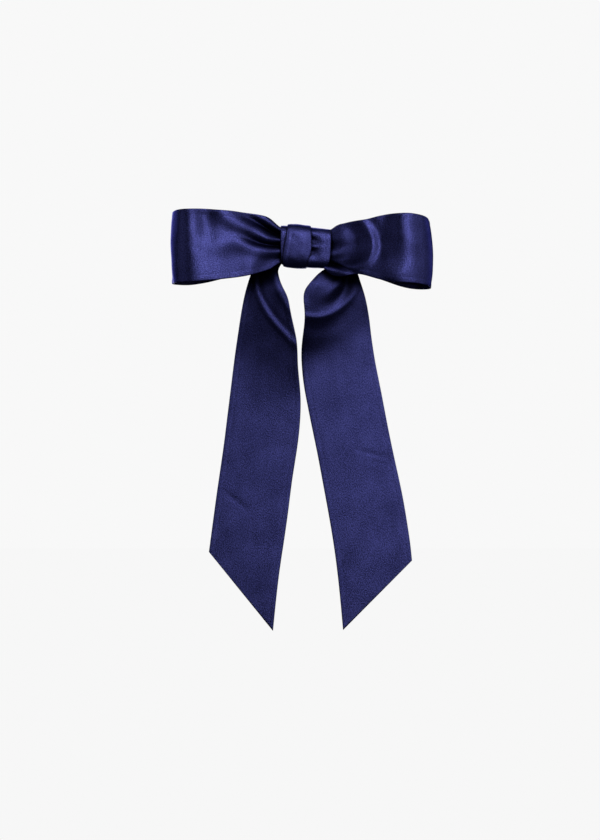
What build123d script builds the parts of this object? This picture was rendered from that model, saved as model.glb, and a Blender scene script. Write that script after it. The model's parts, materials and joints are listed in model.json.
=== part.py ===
from build123d import *
import os

# Satin ribbon hair bow on a spring barrette.
# Frame: +Z up as worn, X along the bow, -Y is the show side, +Y the head side.
# Origin: middle of the gap where the hair is held, between tension strip and clasp arm.

os.makedirs("parts", exist_ok=True)

# ---------------------------------------------------------------- dimensions, mm
ribbon_t = 1.0            # ribbon with its pressed, turned edges

# barrette
gap_half = 2.4            # half of the hair gap
plate_half = 40.0         # half length of the plate
land_x = 29.0             # the arch ends here and the flat end lands begin
plate_w = 9.0
plate_t = 0.8
plate_rise = 4.6          # height of the arch
sew_hole_x = 38.6
sew_hole_r = 0.9
strip_t = 0.4
strip_w = 5.0
strip_bow = 0.4
arm_t = 0.8
arm_w = 6.0
arm_head_w = 8.8
pin_x = -35.5
pin_y = 1.7
pin_r = 0.70
pin_play = 0.05
knuckle_r = 1.5
ear_t = 0.8
catch_x0, catch_x1 = 29.9, 35.1
leg_z = 2.35              # middle plane of a catch leg, and its bend line
leg_t = 0.5
bend_y = -1.75
rivet_x = (-31.5, 32.5)

y_land = -gap_half        # inner face of the end lands
y_mid = y_land - plate_rise   # inner face of the plate at the middle

# bow
core_y0, core_y1 = -18.6, -10.8   # gathered middle of the loops, front and back
tail_y = -9.3             # middle plane of the tails where they leave the knot
hinge_z = -17.5           # the tails hang free below this height
thread_r = 0.3
band_y0, band_y1 = -20.5, -4.85   # inner turn of the knot band, outside
band_z0, band_z1 = -11.4, 10.8

# ---------------------------------------------------------------- barrette plate
with BuildPart() as barrette_plate:
    with BuildSketch(Plane.XY.offset(-plate_w / 2)):
        with BuildLine():
            a = Line((-plate_half, y_land), (-land_x, y_land))
            b = ThreePointArc(a @ 1, (0, y_mid), (land_x, y_land))
            c = Line(b @ 1, (plate_half, y_land))
            d = Line(c @ 1, (plate_half, y_land - plate_t))
            e = Line(d @ 1, (land_x - 0.15, y_land - plate_t))
            f = ThreePointArc(e @ 1, (0, y_mid - plate_t), (-land_x + 0.15, y_land - plate_t))
            g = Line(f @ 1, (-plate_half, y_land - plate_t))
            Line(g @ 1, a @ 0)
        make_face()
    extrude(amount=plate_w)
    # rounded ends
    fillet(barrette_plate.edges().filter_by(Axis.Y).group_by(Axis.X)[0], 3.2)
    fillet(barrette_plate.edges().filter_by(Axis.Y).group_by(Axis.X)[-1], 3.2)
    # the two ears that carry the hinge pin
    for side in (-1, 1):
        with BuildSketch(Plane.XY.offset(side * plate_w / 2 - (ear_t if side > 0 else 0))):
            with BuildLine():
                p = Line((pin_x - 1.6, y_land - plate_t / 2), (pin_x - 1.6, pin_y))
                q = ThreePointArc(p @ 1, (pin_x, pin_y + 1.6), (pin_x + 1.6, pin_y))
                r = Line(q @ 1, (pin_x + 1.6, y_land - plate_t / 2))
                Line(r @ 1, p @ 0)
            make_face()
        extrude(amount=ear_t)
    # pin holes in the ears
    with BuildSketch(Plane.XY.offset(-plate_w / 2 - 1)):
        with Locations((pin_x, pin_y)):
            Circle(pin_r)
    extrude(amount=plate_w + 2, mode=Mode.SUBTRACT)
    # sewing holes and rivet holes
    with BuildSketch(Plane.XZ.offset(gap_half - 1)):
        with Locations((-sew_hole_x, 0), (sew_hole_x, 0)):
            Circle(sew_hole_r)
        with Locations((rivet_x[0], 0), (rivet_x[1], 0)):
            Circle(0.6)
    extrude(amount=3, mode=Mode.SUBTRACT)
barrette_plate.part.label = "barrette_plate"

# ---------------------------------------------------------------- hinge pin
with BuildPart() as hinge_pin:
    with BuildSketch(Plane.XY.offset(-plate_w / 2)):
        with Locations((pin_x, pin_y)):
            Circle(pin_r)
    extrude(amount=plate_w)
    # domed heads outside the ears
    for z, d in ((plate_w / 2, 1), (-plate_w / 2, -1)):
        with BuildSketch(Plane.XY.offset(z)):
            with Locations((pin_x, pin_y)):
                Circle(1.1)
        extrude(amount=0.45 * d, taper=35)
hinge_pin.part.label = "hinge_pin"

# ---------------------------------------------------------------- clasp arm
with BuildPart() as clasp_arm:
    # knuckle round the pin
    with BuildSketch(Plane.XY.offset(-3.45)):
        with Locations((pin_x, pin_y)):
            Circle(knuckle_r)
    extrude(amount=6.9)
    # bar, neck and window head in one stamped outline
    with BuildSketch(Plane.XZ.offset(-gap_half)):
        with BuildLine():
            Polyline(
                (pin_x, -3.45), (-32.5, -3.45), (-30.5, -arm_w / 2), (24.5, -arm_w / 2),
                (27.6, -arm_head_w / 2), (37.2, -arm_head_w / 2), (37.2, arm_head_w / 2),
                (27.6, arm_head_w / 2), (24.5, arm_w / 2), (-30.5, arm_w / 2),
                (-32.5, 3.45), (pin_x, 3.45), (pin_x, -3.45),
            )
        make_face()
        with Locations(((29.1 + 35.7) / 2, 0)):
            Rectangle(35.7 - 29.1, 6.4, mode=Mode.SUBTRACT)
    extrude(amount=-arm_t)
    # round corners of the head
    fillet(clasp_arm.edges().filter_by(Axis.Y).group_by(Axis.X)[-1], 2.2)
    # stiffening rib pressed into the bar
    with BuildSketch(Plane.XZ.offset(-gap_half - arm_t)):
        with Locations((-3.0, 0)):
            SlotOverall(50, 2.0)
    extrude(amount=-0.45, taper=40)
    # pin bore
    with BuildSketch(Plane.XY.offset(-4)):
        with Locations((pin_x, pin_y)):
            Circle(pin_r + pin_play)
    extrude(amount=8, mode=Mode.SUBTRACT)
clasp_arm.part.label = "clasp_arm"

# ---------------------------------------------------------------- tension strip
with BuildPart() as tension_strip:
    with BuildSketch(Plane.XY.offset(-strip_w / 2)):
        with BuildLine():
            a = Line((-37.0, y_land), (-land_x, y_land))
            b = ThreePointArc(a @ 1, (0, y_land - strip_bow), (land_x, y_land))
            c = Line(b @ 1, (36.6, y_land))
            d = Line(c @ 1, (36.6, y_land + strip_t))
            e = Line(d @ 1, (land_x, y_land + strip_t))
            f = ThreePointArc(e @ 1, (0, y_land - strip_bow + strip_t), (-land_x, y_land + strip_t))
            g = Line(f @ 1, (-37.0, y_land + strip_t))
            Line(g @ 1, a @ 0)
        make_face()
    extrude(amount=strip_w)
    fillet(tension_strip.edges().filter_by(Axis.Y), 1.5)
    with BuildSketch(Plane.XZ.offset(gap_half + 1)):
        with Locations((rivet_x[0], 0), (rivet_x[1], 0)):
            Circle(0.6)
    extrude(amount=-3, mode=Mode.SUBTRACT)
tension_strip.part.label = "tension_strip"

# ---------------------------------------------------------------- catch base
with BuildPart() as catch_base:
    with BuildSketch(Plane.XZ.offset(gap_half - strip_t)):
        with Locations(((catch_x0 + catch_x1) / 2, 0)):
            Rectangle(catch_x1 - catch_x0, 2 * leg_z)
        with Locations((rivet_x[1], 0)):
            Circle(0.6, mode=Mode.SUBTRACT)
    extrude(amount=-leg_t)
    # rolled bends along both sides
    for side in (-1, 1):
        with BuildSketch(Plane.YZ.offset(catch_x0)):
            with Locations((bend_y, side * leg_z)):
                Circle(leg_t / 2)
        extrude(amount=catch_x1 - catch_x0)
catch_base.part.label = "catch_base"

# ---------------------------------------------------------------- catch wings
def wing_profile(s):
    # leg, hook over the arm's window and finger tab, seen along X
    pts = [
        (bend_y + 0.42, leg_z - leg_t / 2), (3.6, leg_z - leg_t / 2), (4.5, leg_z - 0.05),
        (4.35, leg_z + 0.35), (3.55, leg_z + 1.15), (3.45, leg_z + 1.1),
        (3.45, leg_z + leg_t / 2), (0.35, leg_z + leg_t / 2), (0.35, 4.9),
        (1.9, 4.95), (1.9, 5.4), (-0.15, 5.4), (-0.15, leg_z + leg_t / 2),
        (bend_y + 0.42, leg_z + leg_t / 2),
    ]
    return [(y, s * z) for y, z in pts]

with BuildPart() as catch_wing_upper:
    with BuildSketch(Plane.YZ.offset(catch_x0)):
        with BuildLine():
            Polyline(*wing_profile(1), close=True)
        make_face()
    extrude(amount=catch_x1 - catch_x0)
catch_wing_upper.part.label = "catch_wing_upper"

with BuildPart() as catch_wing_lower:
    with BuildSketch(Plane.YZ.offset(catch_x0)):
        with BuildLine():
            Polyline(*wing_profile(-1), close=True)
        make_face()
    extrude(amount=catch_x1 - catch_x0)
catch_wing_lower.part.label = "catch_wing_lower"

# ---------------------------------------------------------------- rivets
with BuildPart() as rivets:
    for x, top in ((rivet_x[0], y_land + strip_t), (rivet_x[1], y_land + strip_t + leg_t)):
        # shank
        with BuildSketch(Plane.XZ.offset(-top)):
            with Locations((x, 0)):
                Circle(0.6)
        extrude(amount=top - (y_land - plate_t))
        # set head on the strip side and flat head on the plate's front
        with BuildSketch(Plane.XZ.offset(-top)):
            with Locations((x, 0)):
                Circle(1.25)
        extrude(amount=-0.45, taper=30)
        with BuildSketch(Plane.XZ.offset(-(y_land - plate_t))):
            with Locations((x, 0)):
                Circle(1.25)
        extrude(amount=0.3, taper=30)
rivets.part.label = "rivets"

# ---------------------------------------------------------------- loop ribbon
# seen from above: one strip, closed into two flattened loops and pinched at the middle
loop_back = [
    (13.6, -10.8), (25, -10.6), (33, -9.8), (42, -8.0), (54, -6.4), (62, -7.0),
]
loop_front = [
    (61, -27.4), (52, -28.9), (42, -28.2), (31, -25.6), (22, -22.2), (13.6, -19.0),
]

def loop_outline(s, end, inset):
    # outer face of the strip (inset 0) or inner face (inset = ribbon thickness)
    k = (end - inset) / 69.5
    back = [(s * x * (1 if x < 30 else k * 69.5 / (69.5)), y - inset) for x, y in loop_back]
    front = [(s * x * (1 if x < 30 else k * 69.5 / (69.5)), y + inset) for x, y in loop_front]
    turn = [
        (s * (end - 2.6 - inset * 0.75), -11.4 - inset * 0.6),
        (s * (end - inset), -17.6),
        (s * (end - 2.4 - inset * 0.75), -23.4 + inset * 0.6),
    ]
    return back, turn, front

with BuildPart() as loop_ribbon:
    with BuildSketch(Plane.XY.offset(-26)):
        for s, end in ((-1, 74.3), (1, 69.5)):
            back, turn, front = loop_outline(s, end, 0)
            with BuildLine():
                k1 = Spline(*back, *turn, *front)
                k2 = Line(k1 @ 1, (0, core_y0))
                k3 = Line(k2 @ 1, (0, core_y1))
                Line(k3 @ 1, k1 @ 0)
            make_face()
        for s, end in ((-1, 74.3), (1, 69.5)):
            back, turn, front = loop_outline(s, end, ribbon_t)
            back[0] = (s * 17.0, -12.6)
            front[-1] = (s * 17.0, -18.2)
            with BuildLine():
                k1 = Spline(*back, *turn, *front)
                Line(k1 @ 1, k1 @ 0)
            make_face(mode=Mode.SUBTRACT)
    extrude(amount=52)
    # outline seen from the front
    with BuildSketch(Plane.XZ.offset(-5)):
        with BuildLine():
            l1 = Spline((-13.2, 9.3), (-19.7, 15.7), (-24.9, 17.8), (-32.6, 18.4), (-45.8, 20.0),
                        (-55.8, 21.0), (-67.9, 20.9), (-75.5, 19.6))
            l2 = Line(l1 @ 1, (-75.5, -20.0))
            l3 = Spline(l2 @ 1, (-63.3, -20.7), (-51.2, -18.1), (-35.9, -16.4), (-23.3, -13.4), (-13.2, -8.2))
            l4 = Line(l3 @ 1, (-12.6, -9.6))
            l5 = Line(l4 @ 1, (13.7, -9.6))
            l6 = Spline(l5 @ 1, (15.1, -15.0), (18.7, -16.2), (24.8, -15.2), (28.5, -14.7))
            l7 = Spline(l6 @ 1, (38.1, -17.2), (47.4, -20.0), (58.4, -22.6), (71.0, -22.9))
            l8 = Line(l7 @ 1, (71.0, 15.6))
            l9 = Spline(l8 @ 1, (57.3, 18.7), (41.8, 17.5), (32.3, 15.1), (20.0, 12.9), (13.2, 9.3))
            Line(l9 @ 1, l1 @ 0)
        make_face()
    extrude(amount=45, mode=Mode.INTERSECT)
    # groove that the gathering thread pulls into the pleats
    with BuildSketch(Plane.YZ.offset(-1.6)):
        with Locations(((core_y0 + core_y1) / 2, 0)):
            Rectangle(12, 26)
        with Locations(((core_y0 + 0.8 + core_y1 + 1.5) / 2, -0.15)):
            RectangleRounded(core_y1 + 1.5 - core_y0 - 0.8, 17.1, 2.2, mode=Mode.SUBTRACT)
    extrude(amount=3.2, mode=Mode.SUBTRACT)
loop_ribbon.part.label = "loop_ribbon"

# ---------------------------------------------------------------- gathering thread
with BuildPart() as gathering_thread:
    for x in (-1.05, -0.35, 0.35, 1.05):
        with BuildLine(Plane.YZ.offset(x)) as wind:
            w0, w1 = core_y0 + 0.8 - thread_r, tail_y + ribbon_t / 2 + thread_r
            h0, h1 = -8.7 - thread_r, 8.4 + thread_r
            FilletPolyline((w0, h1), (w1, h1), (w1, h0), (w0, h0), close=True, radius=2.2)
        turn_wire = wind.wires()[0]
        with BuildSketch(Plane(origin=turn_wire @ 0, z_dir=turn_wire % 0)):
            Circle(thread_r)
        sweep(path=turn_wire)
gathering_thread.part.label = "gathering_thread"

# ---------------------------------------------------------------- knot stitches
with BuildPart() as knot_stitches:
    for z in (-6.0, -2.0, 2.0, 6.0):
        back = band_y1 + 0.9
        with BuildLine(Plane.XY.offset(z)) as stitch:
            FilletPolyline((0.7, back + 0.26), (2.6, back + 0.26), (3.8, band_y1 + 0.26), radius=0.6)
        with BuildSketch(Plane(origin=(0.7, back + 0.26, z), z_dir=(1, 0, 0))):
            Circle(0.25)
        sweep(path=stitch.line)
knot_stitches.part.label = "knot_stitches"

# ---------------------------------------------------------------- tails
# each tail is one ribbon: a pleated head, held in the knot, and the part that hangs free
left_edge_l = [(-30.9, -17.6), (-32.8, -22.7), (-34.8, -32.1), (-38.6, -56.7), (-41.9, -84.1),
               (-45.8, -114.3), (-49.6, -138.9), (-53.2, -167.1)]
left_edge_r = [(-18.1, -210.4), (-16.7, -195.4), (-12.9, -166.3), (-8.5, -136.2), (-5.2, -108.8),
               (-3.2, -86.9), (-4.1, -73.2), (-5.2, -56.0), (-6.9, -43.0), (-8.8, -33.2), (-14.3, -17.6)]
right_edge_l = [(4.3, -17.6), (-0.8, -25.0), (-1.0, -33.7), (-2.3, -50.0), (-2.3, -62.0), (0.3, -84.1),
                (4.7, -106.0), (10.7, -138.9), (16.2, -166.3), (18.6, -192.1), (20.3, -209.9)]
right_edge_r = [(58.1, -171.8), (54.5, -149.9), (50.1, -128.0), (45.8, -106.0), (41.4, -83.0),
                (37.5, -63.3), (34.8, -41.4), (32.4, -27.7), (28.9, -17.6)]

def tail_solid(a, b):
    front = [(tail_y, hinge_z), (-11.2, -31), (-10.4, -45), (-8.2, -60), (-6.9, -82), (-6.3, -108), (-6.8, -145), (-8.2, -213)]
    h = ribbon_t / 2
    with BuildPart() as free:
        with BuildSketch(Plane.YZ.offset(-70)):
            with BuildLine():
                f = Spline(*[(y - h, z) for y, z in front])
                g = Line(f @ 1, (front[-1][0] + h, front[-1][1]))
                k = Spline(*[(y + h, z) for y, z in reversed(front)])
                ThreePointArc(k @ 1, (tail_y, hinge_z + h), f @ 0)
            make_face()
        extrude(amount=140)
        with BuildSketch(Plane.XZ.offset(-10)):
            with BuildLine():
                m = Spline(*a)
                n = Line(m @ 1, b[0])
                o = Spline(*b)
                u = Line(o @ 1, (b[-1][0], hinge_z + 2))
                v = Line(u @ 1, (a[0][0], hinge_z + 2))
                Line(v @ 1, a[0])
            make_face()
        extrude(amount=60, mode=Mode.INTERSECT)
    return free.part

def head_solid(points):
    with BuildPart() as head:
        with BuildSketch(Plane.XZ.offset(-tail_y - ribbon_t / 2)):
            with BuildLine():
                Polyline(*points, close=True)
            make_face()
        extrude(amount=ribbon_t)
    return head.part

with BuildPart() as left_tail:
    add(tail_solid(left_edge_l, left_edge_r))
left_tail.part.label = "left_tail"

with BuildPart() as right_tail:
    add(tail_solid(right_edge_l, right_edge_r))
right_tail.part.label = "right_tail"

with BuildPart() as left_tail_pleats:
    add(head_solid([(-30.9, -16.6), (-24.0, -6.5), (-15.0, 2.0), (-6.0, 7.0), (-0.6, 6.0),
                    (-0.6, -3.0), (-5.0, -7.0), (-13.9, -9.6), (-14.5, -16.6)]))
left_tail_pleats.part.label = "left_tail_pleats"

with BuildPart() as right_tail_pleats:
    add(head_solid([(4.3, -16.6), (8.0, -13.4), (13.9, -13.0), (13.9, -9.6), (5.0, -7.0), (0.6, -3.0),
                    (0.6, 6.0), (6.0, 7.0), (15.0, 2.0), (24.0, -6.5), (28.9, -16.6)]))
right_tail_pleats.part.label = "right_tail_pleats"

# ---------------------------------------------------------------- knot band
with BuildPart() as knot_band:
    # inner turn
    with BuildSketch(Plane.YZ.offset(-13.4)):
        with Locations(((band_y0 + band_y1) / 2, (band_z1 + band_z0) / 2)):
            RectangleRounded(band_y1 - band_y0, band_z1 - band_z0, 4.6)
    extrude(amount=26.8)
    # outer turn, laid over the left two thirds
    with BuildSketch(Plane.YZ.offset(-12.0)):
        with Locations(((band_y0 + band_y1 - 0.1) / 2, (band_z1 + band_z0 + 0.7) / 2)):
            RectangleRounded(band_y1 - band_y0 + 1.9, band_z1 - band_z0 + 2.1, 5.4)
    extrude(amount=14.2)
    fillet(knot_band.edges().group_by(Axis.X)[-1], 0.45)
    fillet(knot_band.edges().group_by(Axis.X)[0], 0.45)
    # room for the gathered ribbons and the plate inside
    with BuildSketch(Plane.YZ.offset(-20)):
        with Locations(((band_y0 + band_y1) / 2, (band_z1 + band_z0) / 2)):
            RectangleRounded(band_y1 - band_y0 - 2 * ribbon_t, band_z1 - band_z0 - 2 * ribbon_t, 1.6)
    extrude(amount=40, mode=Mode.SUBTRACT)
knot_band.part.label = "knot_band"

for piece in (barrette_plate, hinge_pin, clasp_arm, tension_strip, catch_base,
              catch_wing_upper, catch_wing_lower, rivets, loop_ribbon, knot_band,
              gathering_thread, knot_stitches, left_tail, right_tail, left_tail_pleats,
              right_tail_pleats):
    export_step(piece.part, f"parts/{piece.part.label}.step")
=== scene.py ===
import bpy, math, json
import numpy as np
from mathutils import Vector, Matrix

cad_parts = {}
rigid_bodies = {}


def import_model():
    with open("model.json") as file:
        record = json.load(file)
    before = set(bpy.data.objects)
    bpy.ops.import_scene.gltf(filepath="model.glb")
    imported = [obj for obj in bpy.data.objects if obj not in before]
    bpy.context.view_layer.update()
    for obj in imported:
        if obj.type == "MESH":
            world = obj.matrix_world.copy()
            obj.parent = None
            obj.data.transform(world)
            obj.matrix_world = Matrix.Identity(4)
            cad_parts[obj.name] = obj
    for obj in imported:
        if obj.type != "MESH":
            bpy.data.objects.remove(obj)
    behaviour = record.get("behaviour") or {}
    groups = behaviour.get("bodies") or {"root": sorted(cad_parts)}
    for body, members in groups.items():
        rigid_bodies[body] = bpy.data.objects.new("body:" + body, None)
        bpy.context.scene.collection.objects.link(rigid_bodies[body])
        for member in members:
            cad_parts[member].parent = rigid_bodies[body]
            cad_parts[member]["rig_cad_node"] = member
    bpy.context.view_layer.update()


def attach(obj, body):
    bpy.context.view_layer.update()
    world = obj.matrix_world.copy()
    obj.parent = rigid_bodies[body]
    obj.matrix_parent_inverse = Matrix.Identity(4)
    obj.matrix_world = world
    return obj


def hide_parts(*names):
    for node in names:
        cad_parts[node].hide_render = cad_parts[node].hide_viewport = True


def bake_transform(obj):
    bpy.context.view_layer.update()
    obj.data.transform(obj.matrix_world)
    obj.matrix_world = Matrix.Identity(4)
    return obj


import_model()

# ------------------------------------------------------------------ view
# Shapes seen from the front are laid out in a plane at Y0, then moved along
# their line of sight to their own depth.
Y0 = -10.0               # mm
XC, ZC = -3.29, -94.8     # mm, middle of the view
DIST = 1086.9            # mm, camera to the plane Y0


def to_depth(P):
    k = 1.0 + (P[..., 1] - Y0) / DIST
    Q = P.copy()
    Q[..., 0] = XC + (P[..., 0] - XC) * k
    Q[..., 2] = ZC + (P[..., 2] - ZC) * k
    return Q


# ------------------------------------------------------------------ curves
class Cubic:
    """Natural cubic spline through (t, values)."""

    def __init__(self, t, y, closed=False):
        self.t = t = np.asarray(t, float)
        self.y = y = np.asarray(y, float)
        if y.ndim == 1:
            self.y = y = y[:, None]
            self.flat = True
        else:
            self.flat = False
        n = len(t)
        h = np.diff(t)
        A = np.zeros((n, n))
        B = np.zeros((n, y.shape[1]))
        if closed:  # y[0] == y[-1]
            for i in range(1, n - 1):
                A[i, i - 1], A[i, i], A[i, i + 1] = h[i - 1], 2 * (h[i - 1] + h[i]), h[i]
                B[i] = 6 * ((y[i + 1] - y[i]) / h[i] - (y[i] - y[i - 1]) / h[i - 1])
            A[0, 0], A[0, 1], A[0, n - 2] = 2 * (h[-1] + h[0]), h[0], h[-1]
            B[0] = 6 * ((y[1] - y[0]) / h[0] - (y[-1] - y[-2]) / h[-1])
            A[n - 1, n - 1], A[n - 1, 0] = 1, -1
        else:
            A[0, 0] = A[n - 1, n - 1] = 1
            for i in range(1, n - 1):
                A[i, i - 1], A[i, i], A[i, i + 1] = h[i - 1], 2 * (h[i - 1] + h[i]), h[i]
                B[i] = 6 * ((y[i + 1] - y[i]) / h[i] - (y[i] - y[i - 1]) / h[i - 1])
        self.m = np.linalg.solve(A, B)

    def __call__(self, x):
        x = np.clip(np.asarray(x, float), self.t[0], self.t[-1])
        i = np.clip(np.searchsorted(self.t, x, side="right") - 1, 0, len(self.t) - 2)
        h = (self.t[i + 1] - self.t[i])[..., None]
        a = (self.t[i + 1] - x)[..., None]
        b = (x - self.t[i])[..., None]
        m0, m1, y0, y1 = self.m[i], self.m[i + 1], self.y[i], self.y[i + 1]
        r = (m0 * a**3 + m1 * b**3) / (6 * h) + (y0 / h - m0 * h / 6) * a + (y1 / h - m1 * h / 6) * b
        return r[..., 0] if self.flat else r


def chord(points):
    p = np.asarray(points, float)
    return np.concatenate([[0], np.cumsum(np.linalg.norm(np.diff(p, axis=0), axis=1))])


def smoothstep(x, a, b):
    t = np.clip((np.asarray(x, float) - a) / (b - a), 0, 1)
    return t * t * (3 - 2 * t)


def fold(X, Z, path):
    """Height of a soft ridge (or valley, with negative heights) along path: rows of x, z, height, width."""
    p = np.asarray(path, float)
    t = chord(p[:, :2])
    c = Cubic(t, p[:, :2])
    n = max(24, int(t[-1] / 0.5))
    s = np.linspace(0, t[-1], n)
    q = c(s)
    a = np.interp(s, t, p[:, 2])
    w = np.interp(s, t, p[:, 3])
    ds = np.linalg.norm(np.gradient(q, axis=0), axis=1)
    out = np.zeros_like(X)
    for k in range(n):
        d2 = (X - q[k, 0]) ** 2 + (Z - q[k, 1]) ** 2
        out += a[k] * ds[k] / (w[k] * math.sqrt(2 * math.pi)) * np.exp(-d2 / (2 * w[k] ** 2))
    return out


def bump_at(X, Z, x, z, height, wx, wz, turn=0.0):
    c, s = math.cos(math.radians(turn)), math.sin(math.radians(turn))
    u, v = (X - x) * c + (Z - z) * s, -(X - x) * s + (Z - z) * c
    return height * np.exp(-0.5 * ((u / wx) ** 2 + (v / wz) ** 2))


def ripple(A, B, seed, waves):
    """Gentle unevenness: a few sine waves in set directions; waves is rows of length (mm), height (mm)."""
    r = np.random.RandomState(seed)
    out = np.zeros_like(A)
    for length, height in waves:
        for _ in range(4):
            ang, ph = r.uniform(0, math.pi), r.uniform(0, 2 * math.pi)
            k = 2 * math.pi / (length * r.uniform(0.8, 1.25))
            out += height / 2 * np.sin(k * (A * math.cos(ang) + B * math.sin(ang)) + ph)
    return out


def relax(P, times, closed=False, keep_ends=True, only=None):
    """Smooths a grid of points a little."""
    for _ in range(times):
        Q = P.copy()
        if closed:
            Q = 0.5 * P + 0.25 * (np.roll(P, 1, 0) + np.roll(P, -1, 0))
        else:
            Q[1:-1] = 0.5 * P[1:-1] + 0.25 * (P[:-2] + P[2:])
        R = Q.copy()
        R[:, 1:-1] = 0.5 * Q[:, 1:-1] + 0.25 * (Q[:, :-2] + Q[:, 2:])
        P = R if only is None else P + (R - P) * only[..., None]
    return P


# ------------------------------------------------------------------ meshes
def grid_normals(P, closed):
    if closed:
        du = np.roll(P, -1, 0) - np.roll(P, 1, 0)
    else:
        du = np.gradient(P, axis=0)
    dv = np.gradient(P, axis=1)
    n = np.cross(du, dv)
    return n / np.maximum(np.linalg.norm(n, axis=2, keepdims=True), 1e-12)


def sheet_mesh(name, P, thick=0.9, closed=False, flip=False, bead=0.06, across=None, along=None, thin=None):
    """Closed cloth mesh with rounded selvedges round the middle surface P (nu, nv, 3), mm."""
    nu, nv, _ = P.shape
    N = grid_normals(P, closed)
    if flip:
        N = -N
    h = thick / 2
    w = np.concatenate([np.zeros((nu, 1)), np.cumsum(np.linalg.norm(np.diff(P, axis=1), axis=2), axis=1)], axis=1)
    total = w[:, -1:]
    edge = np.minimum(w, total - w)
    hh = h * (1 + bead * np.exp(-((edge - 1.3) / 0.55) ** 2) - 0.10 * np.exp(-((edge - 2.7) / 0.6) ** 2))
    if thin is not None:
        hh = hh * thin
    rows = []
    front = P + N * hh[..., None]
    back = P - N * hh[..., None]
    out1 = P[:, -1] - P[:, -2]
    out0 = P[:, 0] - P[:, 1]
    out1 /= np.maximum(np.linalg.norm(out1, axis=1, keepdims=True), 1e-12)
    out0 /= np.maximum(np.linalg.norm(out0, axis=1, keepdims=True), 1e-12)
    ring = [front[:, j] for j in range(nv)]
    uvx = [np.full(nu, j / (nv - 1)) for j in range(nv)]
    for a in (30, 60, 90, 120, 150):
        r = math.radians(a)
        ring.append(P[:, -1] + hh[:, -1:] * (math.cos(r) * N[:, -1] + math.sin(r) * out1))
        uvx.append(np.full(nu, 1 + a / 180 * 0.02))
    for j in range(nv - 1, -1, -1):
        ring.append(back[:, j])
        uvx.append(np.full(nu, j / (nv - 1) + (0.02 if j == nv - 1 else 0)))
    for a in (30, 60, 90, 120, 150):
        r = math.radians(a)
        ring.append(P[:, 0] + hh[:, :1] * (-math.cos(r) * N[:, 0] + math.sin(r) * out0))
        uvx.append(np.full(nu, -0.02 + a / 180 * 0.02))
    V = np.stack(ring, 1)            # nu, m, 3
    m = V.shape[1]
    verts = V.reshape(-1, 3) * 0.001
    faces = []
    last = nu if closed else nu - 1
    for i in range(last):
        i2 = (i + 1) % nu
        for j in range(m):
            j2 = (j + 1) % m
            f = (i * m + j, i2 * m + j, i2 * m + j2, i * m + j2)
            faces.append(f[::-1] if flip else f)
    # along-ribbon coordinate, mm, from the line that each point lies on
    if along is None:
        d = np.linalg.norm(np.diff(P, axis=0), axis=2)
        al = np.concatenate([np.zeros((1, nv)), np.cumsum(d, axis=0)], 0)
    else:
        al = along
    cols = list(range(nv)) + [nv - 1] * 5 + list(range(nv - 1, -1, -1)) + [0] * 5
    width = 40.0 if across is None else across
    U = np.stack(uvx, 1) * width * 0.001
    W = np.stack([al[:, c] for c in cols], 1) * 0.001
    if not closed:  # ends
        c0 = list(range(m))
        nf = nv
        for base, rev in ((0, False), ((nu - 1) * m, True)):
            # quads between the front row and the back row
            for j in range(nf - 1):
                a, b = base + j, base + j + 1
                c, d_ = base + (nv + 5) + (nf - 2 - j), base + (nv + 5) + (nf - 1 - j)
                f = (a, b, c, d_)
                f = f if not rev else f[::-1]
                faces.append(f[::-1] if flip else f)
            e = [base + nf - 1 + k for k in range(0, 7)]
            e = tuple(e)
            e = e if not rev else e[::-1]
            faces.append(e[::-1] if flip else e)
            e = [base + (2 * nv + 4) + k for k in range(0, 6)] + [base]
            e = tuple(e)
            e = e if not rev else e[::-1]
            faces.append(e[::-1] if flip else e)
    me = bpy.data.meshes.new(name)
    me.from_pydata([tuple(v) for v in verts], [], faces)
    uv = me.uv_layers.new(name="UVMap")
    Uf, Wf = U.reshape(-1), W.reshape(-1)
    loops = np.empty(len(me.loops), dtype=np.int64)
    me.loops.foreach_get("vertex_index", loops)
    data = np.stack([Uf[loops], Wf[loops]], 1)
    if closed:  # the seam of a closed strip
        full = W.max() + 0.0006
        k = 0
        pol = np.array([len(p.vertices) for p in me.polygons])
        starts = np.concatenate([[0], np.cumsum(pol)[:-1]])
        vi = loops // m
        for st, ct in zip(starts, pol):
            rows_ = vi[st:st + ct]
            if rows_.max() == nu - 1 and rows_.min() == 0:
                for q in range(st, st + ct):
                    if vi[q] == 0:
                        data[q, 1] = full
    # column of each face corner and size of each face, not used further
    jj = loops % m
    pol = np.array([len(p.vertices) for p in me.polygons])
    uv.data.foreach_set("uv", data.reshape(-1))
    me.polygons.foreach_set("use_smooth", [True] * len(me.polygons))
    me.validate()
    me.update()
    ob = bpy.data.objects.new(name, me)
    bpy.context.scene.collection.objects.link(ob)
    return ob


# ------------------------------------------------------------------ materials
def new_mat(name):
    m = bpy.data.materials.new(name)
    m.use_nodes = True
    nt = m.node_tree
    nt.nodes.clear()
    out = nt.nodes.new("ShaderNodeOutputMaterial")
    b = nt.nodes.new("ShaderNodeBsdfPrincipled")
    nt.links.new(b.outputs[0], out.inputs[0])
    return m, nt, b


def node(nt, kind, **kw):
    n = nt.nodes.new(kind)
    for k, v in kw.items():
        if k.startswith("in_"):
            n.inputs[k[3:]].default_value = v
        else:
            setattr(n, k, v)
    return n


# painted_shade_from: occlusion level below which the base colour is darkened as painted shade
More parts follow.
